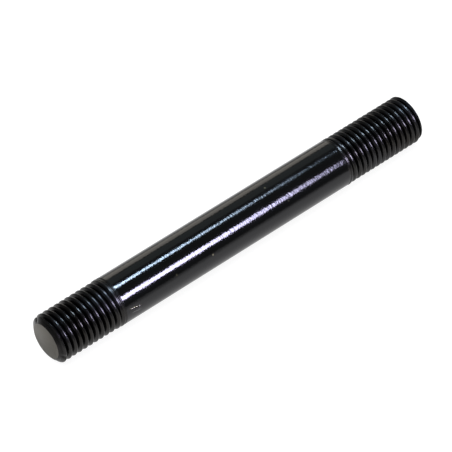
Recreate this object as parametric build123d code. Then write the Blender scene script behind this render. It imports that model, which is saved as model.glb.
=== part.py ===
from build123d import *
import math
import os

# Double ended stud, one turned piece of round bar with a right-hand metric
# thread on each end. Millimetres. It stands on the end of its long thread:
# +Z runs along the axis, and the origin is the centre of that end face.

# Lengths along the axis
overall_length = 108.0
long_thread_length = 23.8     # end face to the start of the plain shank
short_thread_length = 18.2    # the same at the other end

# Diameters
shank_diameter = 11.98
major_diameter = 11.97        # crests of the full threads
swell_diameter = 12.08        # the last threads before the shank stand proud
neck_diameter = 11.82         # bottom of the shallow neck beside the shank

# Thread, 60 degree form with a sharp root
pitch = 1.5
root_diameter = 10.16
flank_half_angle = 30.0
runout_turns = 0.8            # turns over which the groove climbs out
long_thread_start = 143.4      # angle about the axis where each run-out starts
short_thread_start = 24.7

# Ends: a chamfer 30 degrees from the face, below the root of the thread
end_face_diameter = 8.9
chamfer_angle = 30.0

# The neck before the shank, and the length over which the crests rise to it
neck_width = 0.7
swell_width = 1.5

shank_radius = shank_diameter / 2
major_radius = major_diameter / 2
swell_radius = swell_diameter / 2
neck_radius = neck_diameter / 2
root_radius = root_diameter / 2
face_radius = end_face_diameter / 2
chamfer_length = (major_radius - face_radius) * math.tan(math.radians(chamfer_angle))


def end_outline(thread_length):
    """Half section of one end, from the face to the shank, as (radius, height)."""
    neck_start = thread_length - neck_width
    return [
        (face_radius, 0),
        (major_radius, chamfer_length),
        (major_radius, neck_start - swell_width),
        (swell_radius, neck_start),
        (neck_radius, neck_start + neck_width / 3),
        (shank_radius, thread_length),
    ]


def groove_section(height, radius):
    """Section of the thread groove in the plane of the axis. It reaches past
    the crests, but not so far that it meets the next turn."""
    depth = swell_radius + 0.05 - root_radius
    half_mouth = depth * math.tan(math.radians(flank_half_angle))
    return Plane.XZ * make_face(
        Polyline(
            (radius, height),
            (radius + depth, height - half_mouth),
            (radius + depth, height + half_mouth),
            close=True,
        )
    )


def thread_grooves(thread_length, start_angle):
    """The tools that cut one end's thread, one for each turn and one for the
    run-out, where the groove climbs out along a cone before the neck."""
    climb = swell_radius - root_radius
    runout_height = runout_turns * pitch
    runout_start = thread_length - neck_width - runout_height
    turns = math.ceil(runout_start / pitch)
    one_turn = sweep(
        groove_section(0, root_radius),
        path=Helix(pitch, pitch, root_radius),
        is_frenet=True,
    )
    runout = sweep(
        groove_section(0, root_radius),
        path=Helix(
            pitch,
            runout_height,
            root_radius,
            cone_angle=math.degrees(math.atan2(climb, runout_height)),
        ),
        is_frenet=True,
    )
    tools = [Pos(0, 0, runout_start - (i + 1) * pitch) * one_turn for i in range(turns)]
    tools.append(Pos(0, 0, runout_start) * runout)
    return [Rot(0, 0, start_angle) * tool for tool in tools]


long_end = end_outline(long_thread_length)
short_end = [(r, overall_length - z) for r, z in end_outline(short_thread_length)]
outline = [(0, 0)] + long_end + short_end[::-1] + [(0, overall_length)]
stud = revolve(Plane.XZ * make_face(Polyline(*outline, close=True)), Axis.Z)

for tool in thread_grooves(long_thread_length, long_thread_start):
    stud -= tool
turned_over = Pos(0, 0, overall_length) * Rot(180, 0, 0)
for tool in thread_grooves(short_thread_length, short_thread_start):
    stud -= turned_over * tool

os.makedirs("parts", exist_ok=True)
export_step(stud, "parts/stud.step")
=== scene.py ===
import math
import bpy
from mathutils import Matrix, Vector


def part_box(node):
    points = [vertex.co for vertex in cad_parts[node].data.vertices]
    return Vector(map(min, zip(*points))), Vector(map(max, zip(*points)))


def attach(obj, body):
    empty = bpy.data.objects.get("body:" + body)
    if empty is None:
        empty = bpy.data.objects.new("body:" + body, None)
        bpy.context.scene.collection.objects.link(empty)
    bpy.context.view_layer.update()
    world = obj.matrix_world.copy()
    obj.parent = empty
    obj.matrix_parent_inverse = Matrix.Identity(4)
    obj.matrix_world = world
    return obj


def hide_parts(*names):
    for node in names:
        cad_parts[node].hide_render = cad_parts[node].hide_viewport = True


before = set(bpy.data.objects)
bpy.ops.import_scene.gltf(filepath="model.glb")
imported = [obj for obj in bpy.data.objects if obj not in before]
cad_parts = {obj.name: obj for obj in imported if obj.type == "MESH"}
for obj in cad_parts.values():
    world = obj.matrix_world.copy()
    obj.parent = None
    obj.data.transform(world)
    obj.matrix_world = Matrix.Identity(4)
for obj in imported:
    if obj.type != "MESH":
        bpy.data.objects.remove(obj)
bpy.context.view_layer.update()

from types import SimpleNamespace

import bpy
import bmesh
from bpy.props import FloatProperty, FloatVectorProperty, IntProperty, PointerProperty
from mathutils import Matrix, Vector

bl_info = {
    "name": "Double Ended Stud",
    "version": (1, 0, 0),
    "blender": (4, 5, 0),
    "location": "View3D > Sidebar > Stud",
    "description": "Builds a black steel stud with a thread on each end, and its studio",
    "category": "Add Mesh",
}

NODE = "stud"
MM = 0.001
OVERALL_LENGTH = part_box(NODE)[1][2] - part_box(NODE)[0][2]
MERGE_DISTANCE = 0.002 * MM
SHARP_ANGLE = math.radians(50)


def length(name, description, default_mm):
    """A length property whose default is given in millimetres."""
    return FloatProperty(
        name=name, description=description, default=default_mm * MM,
        subtype="DISTANCE", unit="LENGTH", precision=5,
    )


def colour(name, description, default):
    """A colour property, in linear values."""
    return FloatVectorProperty(
        name=name, description=description, default=default, subtype="COLOR",
        size=3, min=0.0, max=1.0,
    )


class StudSizes(bpy.types.PropertyGroup):
    """Sizes of the turned bar and its two threads"""

    overall_length: FloatProperty(
        name="Overall length", description="End face to end face",
        default=OVERALL_LENGTH, subtype="DISTANCE", unit="LENGTH", precision=5)
    long_thread: length("Long thread", "End face to shank, at the foot", 23.8)
    short_thread: length("Short thread", "End face to shank, at the top", 18.2)
    shank_radius: length("Shank radius", "Plain part between the threads", 5.99)
    crest_radius: length("Crest radius", "Outside of the full threads", 5.985)
    swell_radius: length("Swelling radius", "Last threads before the shank", 6.04)
    neck_radius: length("Neck radius", "Bottom of the shallow neck", 5.91)
    root_radius: length("Root radius", "Bottom of the thread groove", 5.08)
    pitch: length("Pitch", "Distance between threads", 1.5)
    face_radius: length("End face radius", "Flat disc inside the chamfer", 4.45)
    chamfer_length: length("Chamfer length", "Along the axis", 0.886)
    swell_width: length("Swelling width", "Length over which crests rise", 1.5)
    neck_width: length("Neck width", "Length of the shallow neck", 0.7)
    runout_length: length("Run-out", "Length over which the groove ends", 1.2)
    long_start: FloatProperty(
        name="Long thread start", description="Angle at which its groove starts",
        default=math.radians(143.4), subtype="ANGLE")
    short_start: FloatProperty(
        name="Short thread start", description="Angle at which its groove starts",
        default=math.radians(24.7), subtype="ANGLE")
    around: IntProperty(
        name="Sides", description="Faces around the bar", default=128, min=24)
    steps: IntProperty(
        name="Steps", description="Rows of faces for each turn of thread",
        default=16, min=8)
    shank_rows: IntProperty(
        name="Shank rows", description="Rows of faces along the shank",
        default=180, min=4)


class StudFinish(bpy.types.PropertyGroup):
    """Colours and gloss of the black oxide finish"""

    oxide: colour("Oxide", "Black oxide in the oil film", (0.044, 0.044, 0.046))
    dry: colour("Dry oxide", "Oxide on the threads", (0.030, 0.028, 0.026))
    faced: colour("Faced end", "The turned end faces", (0.150, 0.140, 0.120))
    # painted shade: a near-black colour painted into the bottoms of the thread grooves
    root: colour("Groove bottoms", "Oil and residue in the grooves", (0.005, 0.005, 0.005))
    bare: colour("Bare steel", "Metal in the nick", (0.58, 0.53, 0.38))
    gloss: FloatProperty(
        name="Shank roughness", description="Roughness of the oiled shank",
        default=0.08, min=0.02, max=1.0, subtype="FACTOR")


class StudioSizes(bpy.types.PropertyGroup):
    """Viewing angle and framing of the camera"""

    elevation: FloatProperty(
        name="Elevation", description="Camera above the plane of the foot",
        default=math.radians(26.0), subtype="ANGLE")
    roll: FloatProperty(
        name="Roll", description="Turn of the camera about its own axis",
        default=math.radians(-121.718), subtype="ANGLE")
    focal_px: FloatProperty(
        name="Focal length", description="In pixels of a picture 452 wide",
        default=2880.0, subtype="PIXEL")
    shank_px: FloatProperty(
        name="Shank in the picture", description="Its diameter at mid height, pixels",
        default=52.588, subtype="PIXEL")
    mid_height: length("Mid height", "Height that stands at the picture's middle", 55.74)
    mid_x: FloatProperty(
        name="Middle across", description="Pixels right of the centre",
        default=1.70, subtype="PIXEL")
    mid_y: FloatProperty(
        name="Middle down", description="Pixels below the centre",
        default=3.0, subtype="PIXEL")


def link(made):
    """Puts a new object in the scene."""
    bpy.context.scene.collection.objects.link(made)
    return made


class Tree:
    """Adds nodes to a tree and wires them, so formulas read in one line each."""

    def __init__(self, tree, prefix):
        self.tree, self.prefix = tree, prefix

    def node(self, kind, **settings):
        made = self.tree.nodes.new(self.prefix + kind if "Node" not in kind else kind)
        for key, value in settings.items():
            setattr(made, key, value)
        return made

    def wire(self, value, socket):
        if isinstance(value, bpy.types.NodeSocket):
            self.tree.links.new(value, socket)
        elif value is not None:
            socket.default_value = value

    def math(self, operation, a, b=None, c=None):
        made = self.node("ShaderNodeMath", operation=operation)
        for socket, value in zip(made.inputs, (a, b, c)):
            self.wire(value, socket)
        return made.outputs[0]

    def add(self, a, b):
        return self.math("ADD", a, b)

    def sub(self, a, b):
        return self.math("SUBTRACT", a, b)

    def mul(self, a, b):
        return self.math("MULTIPLY", a, b)

    def div(self, a, b):
        return self.math("DIVIDE", a, b)

    def ramp(self, value, low, high, to_low, to_high, shape="LINEAR"):
        made = self.node("ShaderNodeMapRange", interpolation_type=shape, clamp=True)
        for socket, item in zip(made.inputs, (value, low, high, to_low, to_high)):
            self.wire(item, socket)
        return made.outputs[0]

    def combine(self, x, y, z):
        made = self.node("ShaderNodeCombineXYZ")
        for socket, value in zip(made.inputs, (x, y, z)):
            self.wire(value, socket)
        return made.outputs[0]

    def vector(self, operation, a, b):
        made = self.node("ShaderNodeVectorMath", operation=operation)
        self.wire(a, made.inputs[0])
        self.wire(b, made.inputs[1])
        scalar = operation in ("DOT_PRODUCT", "DISTANCE")
        return made.outputs["Value" if scalar else "Vector"]

    def noise(self, vector, scale, detail):
        made = self.node("ShaderNodeTexNoise")
        self.wire(vector, made.inputs["Vector"])
        made.inputs["Scale"].default_value = scale
        made.inputs["Detail"].default_value = detail
        return made.outputs[0]

    def mix(self, factor, a, b):
        made = self.node("ShaderNodeMix", data_type="RGBA")
        self.wire(factor, made.inputs["Factor"])
        for label, value in (("A", a), ("B", b)):
            plain = isinstance(value, tuple)
            self.wire((*value, 1.0) if plain else value, made.inputs[label])
        return made.outputs["Result"]

    def separate(self, vector):
        made = self.node("ShaderNodeSeparateXYZ")
        self.wire(vector, made.inputs[0])
        return made.outputs


def new_group(name, kind, inputs, outputs):
    """A node group with named sockets: {name: (socket type, default)}."""
    tree = bpy.data.node_groups.new(name, kind)
    for label, (socket_type, default) in inputs.items():
        socket = tree.interface.new_socket(label, in_out="INPUT", socket_type=socket_type)
        if default is not None:
            socket.default_value = default
    for label, socket_type in outputs.items():
        tree.interface.new_socket(label, in_out="OUTPUT", socket_type=socket_type)
    made = Tree(tree, "GeometryNode" if kind == "GeometryNodeTree" else "ShaderNode")
    enter = tree.nodes.new("NodeGroupInput").outputs
    leave = tree.nodes.new("NodeGroupOutput").inputs
    return tree, made, enter, leave


def join(made, parts):
    node = made.node("JoinGeometry")
    for part in reversed(parts):
        made.tree.links.new(part, node.inputs[0])
    return node.outputs[0]


def set_position(made, geometry, position=None, offset=None):
    node = made.node("SetPosition")
    made.wire(geometry, node.inputs["Geometry"])
    made.wire(position, node.inputs["Position"])
    made.wire(offset, node.inputs["Offset"])
    return node.outputs[0]


def with_material(made, geometry, material):
    node = made.node("SetMaterial")
    made.wire(geometry, node.inputs["Geometry"])
    made.wire(material, node.inputs["Material"])
    return node.outputs[0]


END_SIZES = (
    "Length", "Start", "Pitch", "Crest radius", "Root radius", "Face radius",
    "Chamfer", "Swelling radius", "Swelling width", "Neck radius", "Neck width",
    "Run-out", "Shank radius",
)
CREST_ROUNDING = 0.75 * MM
ROOT_ROUNDING = 0.08 * MM
FLANK_RISE = math.sqrt(3.0)      # a 60 degree form rises this much for each width

# fine rings cut beside the shank, as distances from the short end's face
RINGS = (17.20 * MM, 17.94 * MM)
RING_WIDTH = 0.24 * MM
RING_DEPTH = 0.10 * MM

# burrs on the short end's rim: centres in mm, full depth within the core and
# none past the reach, also in mm, and the depth in ring depths
BURRS = ((5.90, 1.04, 0.4), (-5.34, 2.74, 0.9))
BURR_CORE, BURR_REACH = 0.15, 0.80
BURR_DEPTH = 2.8

# dings: where a noise is high, which is read in mm on a cylinder of the rim's radius
MM_PER_METRE = 1000.0
RIM_RADIUS_MM = 6.0
RIM_EDGE = 0.4 * MM
DING_DEPTH = 0.035 * MM
DING_SCALE, DING_DETAIL = 1.1, 3.0
DING_LEVELS = (0.52, 0.72)
SHORT_END_SEED = 57.0


def threaded_end_group():
    """The skin of one threaded end, foot at the origin. Its rows of faces follow
    the helix, except in the first and last turn, where they close up to a ring."""
    inputs = {name: ("NodeSocketFloat", 1.0) for name in END_SIZES}
    inputs["Sides"] = ("NodeSocketInt", 128)
    inputs["Steps"] = ("NodeSocketInt", 16)
    inputs["Seed"] = ("NodeSocketFloat", 0.0)
    inputs["Ring depth"] = ("NodeSocketFloat", 0.0)
    tree, n, size, leave = new_group(
        "Threaded end", "GeometryNodeTree", inputs, {"Skin": "NodeSocketGeometry"})
    pitch, reach = size["Pitch"], size["Length"]

    # rows start one turn below the face, and stop at the shank
    step = n.div(pitch, size["Steps"])
    rows = n.math("CEIL", n.div(n.add(reach, pitch), step))
    grid = n.node("MeshGrid")
    grid.inputs["Size X"].default_value = 1.0
    grid.inputs["Size Y"].default_value = 1.0
    n.wire(n.add(rows, 1.0), grid.inputs["Vertices X"])
    n.wire(n.add(size["Sides"], 1.0), grid.inputs["Vertices Y"])
    place = n.separate(n.node("InputPosition").outputs[0])
    row = n.math("ROUND", n.mul(n.add(place[0], 0.5), rows))
    turn = n.add(place[1], 0.5)
    along = n.math("MINIMUM", n.sub(n.mul(row, step), pitch), reach)

    # height: helical in the middle, fanned out from one point at each end
    foot = n.mul(n.add(pitch, along), turn)
    middle = n.add(along, n.mul(pitch, turn))
    top = n.add(along, n.mul(n.sub(reach, along), turn))
    height = n.math("MINIMUM", middle, top)
    below = n.math("LESS_THAN", along, 0.0)
    height = n.add(n.mul(below, foot), n.mul(n.sub(1.0, below), height))

    # outline of the bar: chamfer, crests, swelling, neck, shank
    neck_start = n.sub(reach, size["Neck width"])
    swell_start = n.sub(neck_start, size["Swelling width"])
    neck_low = n.add(neck_start, n.div(size["Neck width"], 3.0))
    bar = size["Face radius"]
    for low, high, inner, outer, shape in (
        (0.0, size["Chamfer"], size["Face radius"], size["Crest radius"], "LINEAR"),
        (swell_start, neck_start, size["Crest radius"], size["Swelling radius"], "SMOOTHSTEP"),
        (neck_start, neck_low, size["Swelling radius"], size["Neck radius"], "SMOOTHSTEP"),
        (neck_low, reach, size["Neck radius"], size["Shank radius"], "SMOOTHSTEP"),
    ):
        bar = n.add(bar, n.ramp(height, low, high, 0.0, n.sub(outer, inner), shape))

    # groove: distance along the axis from its middle, then the 60 degree form
    runout_start = n.sub(neck_start, size["Run-out"])
    start_turn = n.div(size["Start"], 2 * math.pi)
    count = n.sub(n.div(n.sub(height, runout_start), pitch), n.sub(turn, start_turn))
    off = n.mul(n.sub(n.math("FRACT", n.add(count, 0.5)), 0.5), pitch)
    middle_height = n.sub(height, off)
    climb = n.math("MAXIMUM", n.div(n.sub(middle_height, runout_start), size["Run-out"]), 0.0)
    root = n.add(
        size["Root radius"],
        n.mul(climb, n.sub(size["Swelling radius"], size["Root radius"])))
    past_flat = n.math(
        "SMOOTH_MAX", n.math("ABSOLUTE", off), 0.0, ROOT_ROUNDING)
    groove = n.add(root, n.mul(past_flat, FLANK_RISE))
    radius = n.math("SMOOTH_MIN", bar, groove, CREST_ROUNDING)
    for centre in RINGS:
        away = n.math("ABSOLUTE", n.sub(height, centre))
        radius = n.sub(radius, n.ramp(
            away, 0.0, RING_WIDTH, size["Ring depth"], 0.0, "SMOOTHSTEP"))

    # dings and rolled edges: shallow, uneven, only on metal that stands proud
    angle = n.mul(turn, 2 * math.pi)
    direction = n.combine(n.math("COSINE", angle), n.math("SINE", angle), 0.0)
    on_rim = n.combine(
        n.mul(n.math("COSINE", angle), RIM_RADIUS_MM),
        n.mul(n.math("SINE", angle), RIM_RADIUS_MM), n.mul(height, MM_PER_METRE))
    inside = n.ramp(height, 0.0, RIM_EDGE, 0.0, 1.0)
    for burr in BURRS:
        away = n.vector("DISTANCE", on_rim, burr)
        torn = n.ramp(away, BURR_CORE, BURR_REACH, inside, 0.0)
        radius = n.sub(radius, n.mul(torn, n.mul(size["Ring depth"], BURR_DEPTH)))
    where = n.vector("ADD", on_rim, n.combine(0.0, 0.0, size["Seed"]))
    uneven = n.noise(where, DING_SCALE, DING_DETAIL)
    dent = n.ramp(uneven, *DING_LEVELS, 0.0, DING_DEPTH)
    proud = n.ramp(radius, size["Root radius"], size["Crest radius"], 0.0, 1.0)
    near_shank = n.ramp(height, neck_start, reach, 1.0, 0.0)
    radius = n.sub(radius, n.mul(n.mul(dent, proud), n.mul(inside, near_shank)))

    scaled = n.node("ShaderNodeVectorMath", operation="SCALE")
    n.wire(direction, scaled.inputs[0])
    n.wire(radius, scaled.inputs["Scale"])
    flat = n.separate(scaled.outputs[0])
    skin = set_position(n, grid.outputs["Mesh"], n.combine(flat[0], flat[1], height))
    flip = n.node("FlipFaces")
    n.wire(skin, flip.inputs[0])
    n.wire(flip.outputs[0], leave["Skin"])
    return tree


# the nick: azimuth and height in the part, then half length, half width and slant
NICK = (-41.4, 87.3 * MM, 1.8 * MM, 0.20 * MM, 0.18)
NICK_DEPTH = 0.14 * MM
DENT_DEPTH = 0.045 * MM
DENT_WIDTH = 0.60 * MM
DENT_ENDS = (0.5, 1.2)           # full depth and none, in half lengths


def beside_axis(azimuth, distance, height):
    """A point beside the stud's axis. Azimuth 0 faces the camera, 90 is along +X."""
    turn = math.radians(azimuth)
    return math.sin(turn) * distance, -math.cos(turn) * distance, height


def dented(n, skin):
    """Knocks the nick's dent into the shank, with its deepest line at the nick."""
    azimuth, height, half_length, _, slant = NICK
    place = n.node("InputPosition").outputs[0]
    along = n.sub(n.separate(place)[2], height)
    outward = beside_axis(azimuth, 1.0, 0.0)
    across = n.vector("DOT_PRODUCT", place, beside_axis(azimuth + 90.0, 1.0, 0.0))
    line = n.math("ABSOLUTE", n.sub(across, n.mul(along, slant)))
    near_side = n.math("GREATER_THAN", n.vector("DOT_PRODUCT", place, outward), 0.0)
    full, none = (half_length * share for share in DENT_ENDS)
    window = n.ramp(n.math("ABSOLUTE", along), full, none, near_side, 0.0, "SMOOTHSTEP")
    deep = n.ramp(line, 0.0, DENT_WIDTH, DENT_DEPTH, 0.0, "SMOOTHSTEP")
    inward = n.node("ShaderNodeVectorMath", operation="SCALE")
    inward.inputs[0].default_value = [-part for part in outward]
    n.wire(n.mul(window, deep), inward.inputs["Scale"])
    return set_position(n, skin, offset=inward.outputs[0])


def stud_tree(materials):
    """The whole stud: two threaded ends, the shank and the end faces."""
    inputs = {
        name: ("NodeSocketFloat", 1.0)
        for name in ("Overall length", "Long thread", "Short thread", "Long start",
                     "Short start") + END_SIZES[2:]
    }
    for name in ("Sides", "Steps", "Shank rows"):
        inputs[name] = ("NodeSocketInt", 128)
    tree, n, size, leave = new_group(
        "Double ended stud", "GeometryNodeTree", inputs,
        {"Geometry": "NodeSocketGeometry"})
    end_group = threaded_end_group()
    total, long_end, short_end = (
        size["Overall length"], size["Long thread"], size["Short thread"])

    def end(reach, start, seed, ring_depth):
        node = n.node("Group", node_tree=end_group)
        n.wire(reach, node.inputs["Length"])
        n.wire(start, node.inputs["Start"])
        for name in END_SIZES[2:] + ("Sides", "Steps"):
            n.wire(size[name], node.inputs[name])
        n.wire(seed, node.inputs["Seed"])
        n.wire(ring_depth, node.inputs["Ring depth"])
        skin = with_material(n, node.outputs[0], materials["thread"])
        disc = n.node("MeshCircle", fill_type="TRIANGLE_FAN")
        n.wire(size["Sides"], disc.inputs["Vertices"])
        n.wire(size["Face radius"], disc.inputs["Radius"])
        face = n.node("FlipFaces")
        n.wire(disc.outputs[0], face.inputs[0])
        return join(n, [skin, with_material(n, face.outputs[0], materials["face"])])

    def moved(geometry, translation, rotation=(0.0, 0.0, 0.0)):
        node = n.node("Transform")
        n.wire(geometry, node.inputs["Geometry"])
        n.wire(translation, node.inputs["Translation"])
        node.inputs["Rotation"].default_value = rotation
        return node.outputs[0]

    top = moved(end(short_end, size["Short start"], SHORT_END_SEED, RING_DEPTH),
                n.combine(0.0, 0.0, total), (math.pi, 0.0, 0.0))
    shank_length = n.sub(n.sub(total, long_end), short_end)
    bar = n.node("MeshCylinder", fill_type="NONE")
    n.wire(size["Sides"], bar.inputs["Vertices"])
    n.wire(size["Shank rows"], bar.inputs["Side Segments"])
    n.wire(size["Shank radius"], bar.inputs["Radius"])
    n.wire(shank_length, bar.inputs["Depth"])
    middle = n.add(long_end, n.mul(shank_length, 0.5))
    plain = moved(bar.outputs["Mesh"], n.combine(0.0, 0.0, middle))
    shank = with_material(n, dented(n, plain), materials["shank"])

    merge = n.node("MergeByDistance")
    foot = end(long_end, size["Long start"], 0.0, 0.0)
    n.wire(join(n, [foot, shank, top]), merge.inputs[0])
    merge.inputs["Distance"].default_value = MERGE_DISTANCE
    real = n.node("RealizeInstances")
    n.wire(merge.outputs[0], real.inputs[0])
    smooth = n.node("SetShadeSmooth")
    n.wire(real.outputs[0], smooth.inputs[0])
    n.wire(smooth.outputs[0], leave["Geometry"])
    return tree


def evaluated_copy(name, tree, values):
    """Runs a geometry tree with the values given by input name, and returns an
    object that holds the result as a plain mesh."""
    maker_mesh = bpy.data.meshes.new(name + "_maker")
    maker = link(bpy.data.objects.new(name + "_maker", maker_mesh))
    modifier = maker.modifiers.new("Stud", "NODES")
    modifier.node_group = tree
    sockets = {
        item.name: item.identifier for item in tree.interface.items_tree
        if item.item_type == "SOCKET" and item.in_out == "INPUT"
    }
    for label, value in values.items():
        modifier[sockets[label]] = value
    graph = bpy.context.evaluated_depsgraph_get()
    mesh = bpy.data.meshes.new_from_object(maker.evaluated_get(graph))
    bpy.data.objects.remove(maker)
    mesh.name = name
    return link(bpy.data.objects.new(name, mesh))


def close_skin(mesh, distance):
    """Merges what still meets, drops faces with no area and turns all outwards."""
    work = bmesh.new()
    work.from_mesh(mesh)
    bmesh.ops.remove_doubles(work, verts=work.verts, dist=distance)
    bmesh.ops.dissolve_degenerate(work, edges=work.edges, dist=distance)
    bmesh.ops.recalc_face_normals(work, faces=work.faces)
    open_edges = sum(1 for edge in work.edges if len(edge.link_faces) != 2)
    work.to_mesh(mesh)
    work.free()
    if open_edges:
        raise RuntimeError(f"the stud's skin has {open_edges} open edges")


# waves a metre: the tool's rings across and along the bar, then the grain of the
# metal, and broad patches of another tone and gloss
RING_WAVES_ACROSS, RING_WAVES_ALONG = 800.0, 2100.0
GRAIN_WAVES = 3000.0
PATCH_WAVES = 130.0


def turning_marks_group():
    """Fine rings left by the tool over the metal's grain, as a height, and the
    broad patches in which the oxide differs."""
    tree, s, size, leave = new_group(
        "Turning marks", "ShaderNodeTree",
        {"Vector": ("NodeSocketVector", None), "Ring scale": ("NodeSocketFloat", 1.0),
         "Grain": ("NodeSocketFloat", 0.5)},
        {"Height": "NodeSocketFloat", "Patch": "NodeSocketFloat"})
    place = s.separate(size["Vector"])
    fine = s.noise(s.combine(
        s.mul(place[0], RING_WAVES_ACROSS), s.mul(place[1], RING_WAVES_ACROSS),
        s.mul(s.mul(place[2], RING_WAVES_ALONG), size["Ring scale"])), 1.0, 2.0)
    grain = s.noise(size["Vector"], GRAIN_WAVES, 1.0)
    s.wire(s.add(fine, s.mul(grain, size["Grain"])), leave["Height"])
    s.wire(s.noise(size["Vector"], PATCH_WAVES, 2.0), leave["Patch"])
    return tree


# the nick in detail, in half widths: how far its line wanders, its gouge's bright
# lip, and the rippled skin beside it as its place, full width and faded width. The
# waves are a metre's.
NICK_WANDER, WANDER_WAVES = 2.2, 1500.0
NICK_LIP = (0.30, 0.75)
RIPPLE_PLACE, RIPPLE_FULL, RIPPLE_FADED = 3.0, 1.5, 4.0
RIPPLE_HEIGHT, RIPPLE_WAVES = 1.3, 1700.0
NICK_FULL_LENGTH = 0.4           # of the half length, past which it fades
BARE_LEVELS = (0.40, 0.58)       # noise over which bare metal shows
BARE_LEAST, BARE_WAVES = 0.12, 2600.0

# bright flecks on the shank: azimuth, then height and radius in mm
FLECKS = (
    (-27.0, 75.1, 0.34), (-32.0, 64.7, 0.30), (-17.8, 41.6, 0.26), (36.1, 44.6, 0.30),
)
FLECK_CORE = 0.3
FLECK_SHINE = 0.58


def nick_group():
    """A gouge knocked into the bar along its length, and the skin dented below it."""
    tree, s, size, leave = new_group(
        "Nick", "ShaderNodeTree",
        {"Vector": ("NodeSocketVector", None), "Centre": ("NodeSocketVector", None),
         "Tangent": ("NodeSocketVector", None), "Half length": ("NodeSocketFloat", 1.0),
         "Half width": ("NodeSocketFloat", 1.0), "Slant": ("NodeSocketFloat", 0.0)},
        {"Height": "NodeSocketFloat", "Bare": "NodeSocketFloat"})
    local = s.vector("SUBTRACT", size["Vector"], size["Centre"])
    along = s.separate(local)[2]
    across = s.vector("DOT_PRODUCT", local, size["Tangent"])
    wander = s.noise(size["Vector"], WANDER_WAVES, 2.0)
    reach, width = size["Half length"], size["Half width"]
    line = s.add(s.sub(across, s.mul(along, size["Slant"])),
                 s.mul(s.sub(wander, 0.5), s.mul(width, NICK_WANDER)))
    window = s.ramp(s.math("ABSOLUTE", along), s.mul(reach, NICK_FULL_LENGTH),
                    reach, 1.0, 0.0, "SMOOTHSTEP")
    gouge = s.ramp(s.math("ABSOLUTE", line), 0.0, width, 1.0, 0.0, "SMOOTHSTEP")
    lip = s.ramp(s.math("ABSOLUTE", line), s.mul(width, NICK_LIP[0]),
                 s.mul(width, NICK_LIP[1]), 1.0, 0.0)
    patchy = s.noise(size["Vector"], BARE_WAVES, 2.0)
    broken = s.ramp(patchy, *BARE_LEVELS, BARE_LEAST, 1.0)
    off = s.math("ABSOLUTE", s.add(line, s.mul(width, RIPPLE_PLACE)))
    beside = s.ramp(off, s.mul(width, RIPPLE_FULL), s.mul(width, RIPPLE_FADED),
                    1.0, 0.0, "SMOOTHSTEP")
    waves = s.noise(size["Vector"], RIPPLE_WAVES, 1.0)
    ripple = s.mul(waves, s.mul(beside, RIPPLE_HEIGHT))
    s.wire(s.mul(window, s.sub(ripple, gouge)), leave["Height"])
    s.wire(s.mul(s.mul(window, lip), broken), leave["Bare"])
    return tree


PATCH_TONES = (0.35, 0.68)       # patch noise between the dark and the light tone
PATCH_GLOSSES = (0.3, 0.7)       # and between the two roughnesses


def steel_material(name, marks, look):
    """Black oxide under a film of oil: a dark mirror, broken by the tool's marks."""
    material = bpy.data.materials.new(name)
    material.use_nodes = True
    s = Tree(material.node_tree, "ShaderNode")
    shader = material.node_tree.nodes["Principled BSDF"]
    place = s.node("ShaderNodeTexCoord").outputs["Object"]
    ring = s.node("ShaderNodeGroup", node_tree=marks)
    s.wire(place, ring.inputs["Vector"])
    ring.inputs["Ring scale"].default_value = look["rings"]
    ring.inputs["Grain"].default_value = look["grain"]
    tone = s.mix(s.ramp(ring.outputs["Patch"], *PATCH_TONES, 0.0, 1.0),
                 look["dark"], look["light"])
    relief = s.node("ShaderNodeBump")
    relief.inputs["Strength"].default_value = 1.0
    relief.inputs["Distance"].default_value = look["bump"]
    s.wire(ring.outputs["Height"], relief.inputs["Height"])
    s.wire(relief.outputs[0], shader.inputs["Normal"])
    s.wire(tone, shader.inputs["Base Color"])
    s.wire(s.ramp(ring.outputs["Patch"], *PATCH_GLOSSES, *look["rough"]),
           shader.inputs["Roughness"])
    shader.inputs["Metallic"].default_value = look["metallic"]
    return SimpleNamespace(material=material, tree=s, colour=shader.inputs["Base Color"],
                           place=place, tone=tone, relief=relief)


def nicked(steel, nick, bare, radius):
    """Adds the gouge and the bright flecks to the shank's material."""
    s = steel.tree
    azimuth, height, half_length, half_width, slant = NICK
    mark = s.node("ShaderNodeGroup", node_tree=nick)
    s.wire(steel.place, mark.inputs["Vector"])
    mark.inputs["Centre"].default_value = beside_axis(azimuth, radius, height)
    mark.inputs["Tangent"].default_value = beside_axis(azimuth + 90.0, 1.0, 0.0)
    mark.inputs["Half length"].default_value = half_length
    mark.inputs["Half width"].default_value = half_width
    mark.inputs["Slant"].default_value = slant
    dent = s.node("ShaderNodeBump")
    dent.inputs["Strength"].default_value = 1.0
    dent.inputs["Distance"].default_value = NICK_DEPTH
    s.wire(mark.outputs["Height"], dent.inputs["Height"])
    s.wire(dent.outputs[0], steel.relief.inputs["Normal"])
    shine = mark.outputs["Bare"]
    for azimuth, height, size in FLECKS:
        centre = beside_axis(azimuth, radius, height * MM)
        gap = s.vector("DISTANCE", steel.place, centre)
        fleck = s.ramp(gap, size * FLECK_CORE * MM, size * MM, FLECK_SHINE, 0.0)
        shine = s.add(shine, fleck)
    s.wire(s.mix(shine, steel.tone, bare), steel.colour)
    return steel.material


PAINTED_SHADE_RADII = (5.30 * MM, 5.62 * MM)     # radii between which the painted shade in the grooves fades
FACE_MARGIN = 1.0 * MM                   # length before the faces that stays clear


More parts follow.
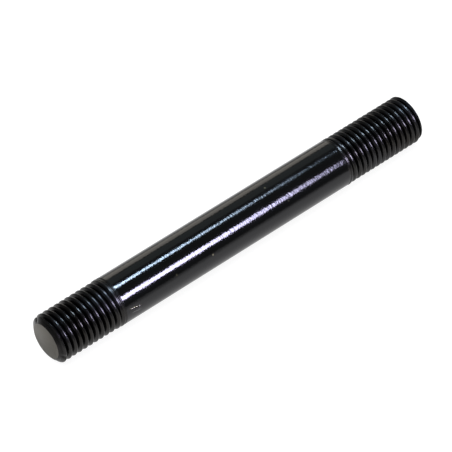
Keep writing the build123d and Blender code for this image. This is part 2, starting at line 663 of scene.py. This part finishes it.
def painted_groove_shade(steel, root):
    """Paints shade into the bottom of the thread grooves, as a darker colour."""
    s = steel.tree
    half = OVERALL_LENGTH / 2
    flat = s.vector("MULTIPLY", steel.place, (1.0, 1.0, 0.0))
    radius = s.vector("DISTANCE", flat, (0.0, 0.0, 0.0))
    depth = s.ramp(radius, *PAINTED_SHADE_RADII, 1.0, 0.0, "SMOOTHSTEP")
    from_middle = s.math("ABSOLUTE", s.sub(s.separate(steel.place)[2], half))
    face = s.ramp(from_middle, half - FACE_MARGIN, half, 1.0, 0.0)
    s.wire(s.mix(s.mul(depth, face), steel.tone, root), steel.colour)
    return steel.material


GLOSS_SPREAD = 0.05              # added to the shank's roughness in its dull patches


def stud_materials(finish, radius):
    """The three finishes of the stud, by the name of their place on it."""
    marks = turning_marks_group()
    oxide, dry, faced = tuple(finish.oxide), tuple(finish.dry), tuple(finish.faced)
    gloss = finish.gloss
    shank = steel_material("oiled oxide on the shank", marks, {
        "dark": oxide, "light": oxide, "rough": (gloss, gloss + GLOSS_SPREAD),
        "bump": 0.0200 * MM, "rings": 1.0, "grain": 0.7, "metallic": 1.0})
    thread = steel_material("oxide on the threads", marks, {
        "dark": dry, "light": oxide, "rough": (0.20, 0.33),
        "bump": 0.0180 * MM, "rings": 1.6, "grain": 0.9, "metallic": 0.97})
    face = steel_material("faced end", marks, {
        "dark": faced, "light": faced, "rough": (0.42, 0.50),
        "bump": 0.0010 * MM, "rings": 0.01, "grain": 1.0, "metallic": 0.45})
    return {"shank": nicked(shank, nick_group(), tuple(finish.bare), radius),
            # the threads get painted shade in their groove bottoms
            "thread": painted_groove_shade(thread, tuple(finish.root)), "face": face.material}


FLOOR_SIZE = 4.0
FLOOR_GAP = 0.02 * MM
FLOOR_MATT = (0.8, 0.8, 0.8, 1.0)
FLOOR_GLOW = 0.93                        # to the camera, and the shade adds to it
FLOOR_SHADE = (0.22, 0.22, 0.22, 1.0)    # lit by the lamps, so it keeps the shadow

# the floor's level as the metal mirrors it, with painted shade: a painted contact shadow near
# the axis and painted fall-off far off and past the ends. From and to in mm, then the two
# levels, by the distance from the axis and by the height along it
PAINTED_SHADE_BESIDE = ((6.0, 11.0, 0.5, 1.0), (28.0, 60.0, 1.0, 0.5))
PAINTED_SHADE_ALONG = ((-20.0, -2.0, 0.35, 1.0), (120.0, 140.0, 1.0, 0.35))

ROOM_RADIUS = 3.4
ROOM_LEVEL = 0.12
ROOM_TINT = (0.95, 1.0, 1.0, 1.0)


def view_axes(studio):
    """Right, up and back of the camera, in the part's frame."""
    tilt, roll = studio.elevation, studio.roll
    back = Vector((0.0, -math.cos(tilt), math.sin(tilt)))
    across = Vector((1.0, 0.0, 0.0))
    up = back.cross(across)
    right = math.cos(roll) * across + math.sin(roll) * up
    return right, math.cos(roll) * up - math.sin(roll) * across, back


def table_up(studio):
    """The way up in the picture's world: square to the stud's axis, and in the
    plane of the camera's own upright."""
    right, up, back = view_axes(studio)
    axis = Vector((0.0, 0.0, 1.0))
    lean = math.atan2(-axis.dot(up), axis.dot(back))
    return (math.cos(lean) * up + math.sin(lean) * back).normalized()


def stage_mesh(name, corners, faces):
    mesh = bpy.data.meshes.new(name)
    mesh.from_pydata(corners, [], faces)
    made = link(bpy.data.objects.new(name, mesh))
    return made


def floor_material():
    """White to the camera, but for the stud's shadow, and matt to the lamps. The metal mirrors
    it at a level with painted shade: a painted contact shadow close to the stud, and painted
    fall-off of light far from it and past its ends."""
    material = bpy.data.materials.new("floor white")
    material.use_nodes = True
    nodes = material.node_tree.nodes
    nodes.clear()
    s = Tree(material.node_tree, "ShaderNode")
    matt = s.node("ShaderNodeBsdfDiffuse")
    matt.inputs["Color"].default_value = FLOOR_MATT
    path = s.node("ShaderNodeLightPath").outputs
    bright = s.node("ShaderNodeEmission")
    bright.inputs["Strength"].default_value = FLOOR_GLOW
    grey = s.node("ShaderNodeBsdfDiffuse")
    grey.inputs["Color"].default_value = FLOOR_SHADE
    shaded = s.node("ShaderNodeAddShader")
    s.wire(grey.outputs[0], shaded.inputs[0])
    s.wire(bright.outputs[0], shaded.inputs[1])

    place = s.separate(s.node("ShaderNodeTexCoord").outputs["Object"])
    distance = s.math("SQRT", s.add(s.mul(place[0], place[0]), s.mul(place[1], place[1])))
    mirrored = s.node("ShaderNodeEmission")
    # painted shade in the mirrored floor: darker near the stud as a painted contact shadow,
    # and darker far off as painted fall-off
    beside, ends = (
        s.mul(*(s.ramp(value, low * MM, high * MM, from_level, to_level)
                for low, high, from_level, to_level in bands))
        for value, bands in ((distance, PAINTED_SHADE_BESIDE), (place[2], PAINTED_SHADE_ALONG)))
    s.wire(s.mul(beside, ends), mirrored.inputs["Strength"])
    glossy = s.math("MAXIMUM", path["Is Glossy Ray"], path["Is Transmission Ray"])
    lit = s.node("ShaderNodeMixShader")
    s.wire(path["Is Camera Ray"], lit.inputs[0])
    s.wire(matt.outputs[0], lit.inputs[1])
    s.wire(shaded.outputs[0], lit.inputs[2])
    front = s.node("ShaderNodeMixShader")
    s.wire(glossy, front.inputs[0])
    s.wire(lit.outputs[0], front.inputs[1])
    s.wire(mirrored.outputs[0], front.inputs[2])
    clear = s.node("ShaderNodeBsdfTransparent")
    sides = s.node("ShaderNodeMixShader")
    s.wire(s.node("ShaderNodeNewGeometry").outputs["Backfacing"], sides.inputs[0])
    s.wire(front.outputs[0], sides.inputs[1])
    s.wire(clear.outputs[0], sides.inputs[2])
    s.wire(sides.outputs[0], s.node("ShaderNodeOutputMaterial").inputs[0])
    return material


def room_material():
    """A dim dome, which keeps the metal dark where no panel is mirrored."""
    material = bpy.data.materials.new("dark room")
    material.use_nodes = True
    nodes = material.node_tree.nodes
    nodes.clear()
    s = Tree(material.node_tree, "ShaderNode")
    glow = s.node("ShaderNodeEmission")
    glow.inputs["Color"].default_value = ROOM_TINT
    glow.inputs["Strength"].default_value = ROOM_LEVEL
    s.wire(glow.outputs[0], s.node("ShaderNodeOutputMaterial").inputs[0])
    return material


def softbox(name, azimuth, distance, height, size, brightness, tint, fade, shows):
    """An upright area lamp turned to the stud. Brightness is what a mirror would
    show, and fade is the part of its height over which the foot grows bright, or
    None where it is all bright. Shows says if it is only mirrored in the metal,
    only lights matt surfaces, or does both."""
    data = bpy.data.lights.new(name, "AREA")
    data.shape = "RECTANGLE"
    data.size, data.size_y = size
    data.energy = brightness * math.pi * size[0] * size[1]
    data.color = tint
    if fade:
        data.use_nodes = True
        s = Tree(data.node_tree, "ShaderNode")
        level = s.separate(s.node("ShaderNodeNewGeometry").outputs["Parametric"])[1]
        s.wire(s.ramp(level, fade[0], fade[1], 0.0, 1.0),
               data.node_tree.nodes["Emission"].inputs["Strength"])
    made = link(bpy.data.objects.new(name, data))
    made.location = beside_axis(azimuth, distance, height)
    outward = Vector(beside_axis(azimuth, 1.0, 0.0))
    made.rotation_mode = "QUATERNION"
    made.rotation_quaternion = outward.to_track_quat("Z", "Y")
    made.visible_camera = False
    made.visible_diffuse = shows != "mirrored"
    made.visible_glossy = shows != "matt"


LILAC = (0.74, 0.71, 1.0)
ICE = (0.62, 0.80, 1.0)
WARM = (1.0, 0.95, 0.84)
PALE = (0.85, 1.0, 1.0)
PLAIN = (1.0, 1.0, 1.0)
# name, azimuth, distance, height, size, brightness, tint, fade, shows
SOFTBOXES = (
    ("key", -15.8, 0.60, -0.10, (0.17, 0.44), 40.0, LILAC, (0.055, 0.235), "mirrored"),
    ("key above", -15.8, 0.60, 0.33, (0.16, 0.42), 10.0, LILAC, None, "mirrored"),
    ("cool", 41.0, 0.60, -0.05, (0.088, 0.50), 48.0, ICE, (0.065, 0.33), "mirrored"),
    ("cool above", 41.0, 0.60, 0.37, (0.10, 0.34), 8.0, ICE, None, "mirrored"),
    ("far wall", 112.0, 1.00, -0.43, (0.49, 0.60), 1.4, WARM, None, "both"),
    ("fill", 78.0, 1.00, -0.43, (0.58, 0.60), 0.25, PALE, None, "both"),
    ("soft light", 35.35, 1.50, 0.50, (1.40, 1.60), 4.1, PLAIN, None, "matt"),
)


class STUD_OT_body(bpy.types.Operator):
    """Build the stud: shank, both threads and the end faces"""

    bl_idname = "stud.body"
    bl_label = "Build stud"

    def execute(self, context):
        size, finish = context.scene.stud_sizes, context.scene.stud_finish
        tree = stud_tree(stud_materials(finish, size.shank_radius))
        piece = evaluated_copy("stud_body", tree, {
            "Overall length": size.overall_length,
            "Long thread": size.long_thread, "Short thread": size.short_thread,
            "Long start": size.long_start, "Short start": size.short_start,
            "Pitch": size.pitch, "Crest radius": size.crest_radius,
            "Root radius": size.root_radius,
            "Face radius": size.face_radius, "Chamfer": size.chamfer_length,
            "Swelling radius": size.swell_radius, "Swelling width": size.swell_width,
            "Neck radius": size.neck_radius,
            "Neck width": size.neck_width, "Run-out": size.runout_length,
            "Shank radius": size.shank_radius, "Sides": size.around,
            "Steps": size.steps, "Shank rows": size.shank_rows,
        })
        close_skin(piece.data, MERGE_DISTANCE)
        piece.data.set_sharp_from_angle(angle=SHARP_ANGLE)
        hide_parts(NODE)
        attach(piece, "root")
        return {"FINISHED"}


class STUD_OT_stage(bpy.types.Operator):
    """Lay the floor and hang the lamps"""

    bl_idname = "stud.stage"
    bl_label = "Build stage"

    def execute(self, context):
        studio, size = context.scene.stud_studio, context.scene.stud_sizes
        up = table_up(studio)
        axis = Vector((0.0, 0.0, 1.0))
        side = up.cross(axis)
        centre = Vector((0.0, 0.0, studio.mid_height)) - up * (size.swell_radius + FLOOR_GAP)
        half = FLOOR_SIZE / 2
        corners = [centre + side * x * half + axis * y * half
                   for x, y in ((-1, -1), (1, -1), (1, 1), (-1, 1))]
        floor = stage_mesh("floor", corners, [(0, 1, 2, 3)])
        if floor.data.polygons[0].normal.dot(up) < 0:
            floor.data.flip_normals()
        floor.data.materials.append(floor_material())
        for box in SOFTBOXES:
            softbox(*box)
        ball = bmesh.new()
        bmesh.ops.create_icosphere(ball, subdivisions=4, radius=ROOM_RADIUS)
        room = stage_mesh("room", [], [])
        ball.to_mesh(room.data)
        ball.free()
        room.data.materials.append(room_material())
        room.visible_camera = False
        world = bpy.data.worlds.new("studio")
        world.use_nodes = True
        back = world.node_tree.nodes["Background"]
        back.inputs["Color"].default_value = (*PLAIN, 1.0)
        back.inputs["Strength"].default_value = 1.0
        context.scene.world = world
        return {"FINISHED"}


PICTURE_PX = 452
SENSOR_MM = 36.0


class STUD_OT_camera(bpy.types.Operator):
    """Place the camera at the picture's angle"""

    bl_idname = "stud.camera"
    bl_label = "Place camera"

    def execute(self, context):
        studio, size = context.scene.stud_studio, context.scene.stud_sizes
        right, up, back = view_axes(studio)
        depth = studio.focal_px * 2 * size.shank_radius / studio.shank_px
        shift = depth / studio.focal_px
        data = bpy.data.cameras.new("camera")
        data.sensor_width = SENSOR_MM
        data.lens = studio.focal_px / PICTURE_PX * SENSOR_MM
        data.clip_start, data.clip_end = 0.01, 20.0
        camera = link(bpy.data.objects.new("camera", data))
        place = (Vector((0.0, 0.0, studio.mid_height)) + back * depth
                 - right * studio.mid_x * shift + up * studio.mid_y * shift)
        camera.matrix_world = Matrix((
            (right.x, up.x, back.x, place.x),
            (right.y, up.y, back.y, place.y),
            (right.z, up.z, back.z, place.z),
            (0.0, 0.0, 0.0, 1.0),
        ))
        context.scene.camera = camera
        context.scene.view_settings.view_transform = "Standard"
        return {"FINISHED"}


class STUD_PT_panel(bpy.types.Panel):
    """Stud and studio"""

    bl_idname = "STUD_PT_panel"
    bl_label = "Double Ended Stud"
    bl_space_type = "VIEW_3D"
    bl_region_type = "UI"
    bl_category = "Stud"

    def draw(self, context):
        layout = self.layout
        for operator in (STUD_OT_body, STUD_OT_stage, STUD_OT_camera):
            layout.operator(operator.bl_idname)
        for group in ("stud_sizes", "stud_finish", "stud_studio"):
            box = layout.box()
            values = getattr(context.scene, group)
            for name in values.__annotations__:
                box.prop(values, name)


CLASSES = (StudSizes, StudFinish, StudioSizes, STUD_OT_body, STUD_OT_stage,
           STUD_OT_camera, STUD_PT_panel)


def register():
    for item in CLASSES:
        bpy.utils.register_class(item)
    bpy.types.Scene.stud_sizes = PointerProperty(type=StudSizes)
    bpy.types.Scene.stud_finish = PointerProperty(type=StudFinish)
    bpy.types.Scene.stud_studio = PointerProperty(type=StudioSizes)


def unregister():
    for name in ("stud_sizes", "stud_finish", "stud_studio"):
        delattr(bpy.types.Scene, name)
    for item in reversed(CLASSES):
        bpy.utils.unregister_class(item)


def main():
    register()
    bpy.ops.stud.body()
    bpy.ops.stud.camera()
    bpy.ops.stud.stage()


if __name__ == "__main__":
    main()
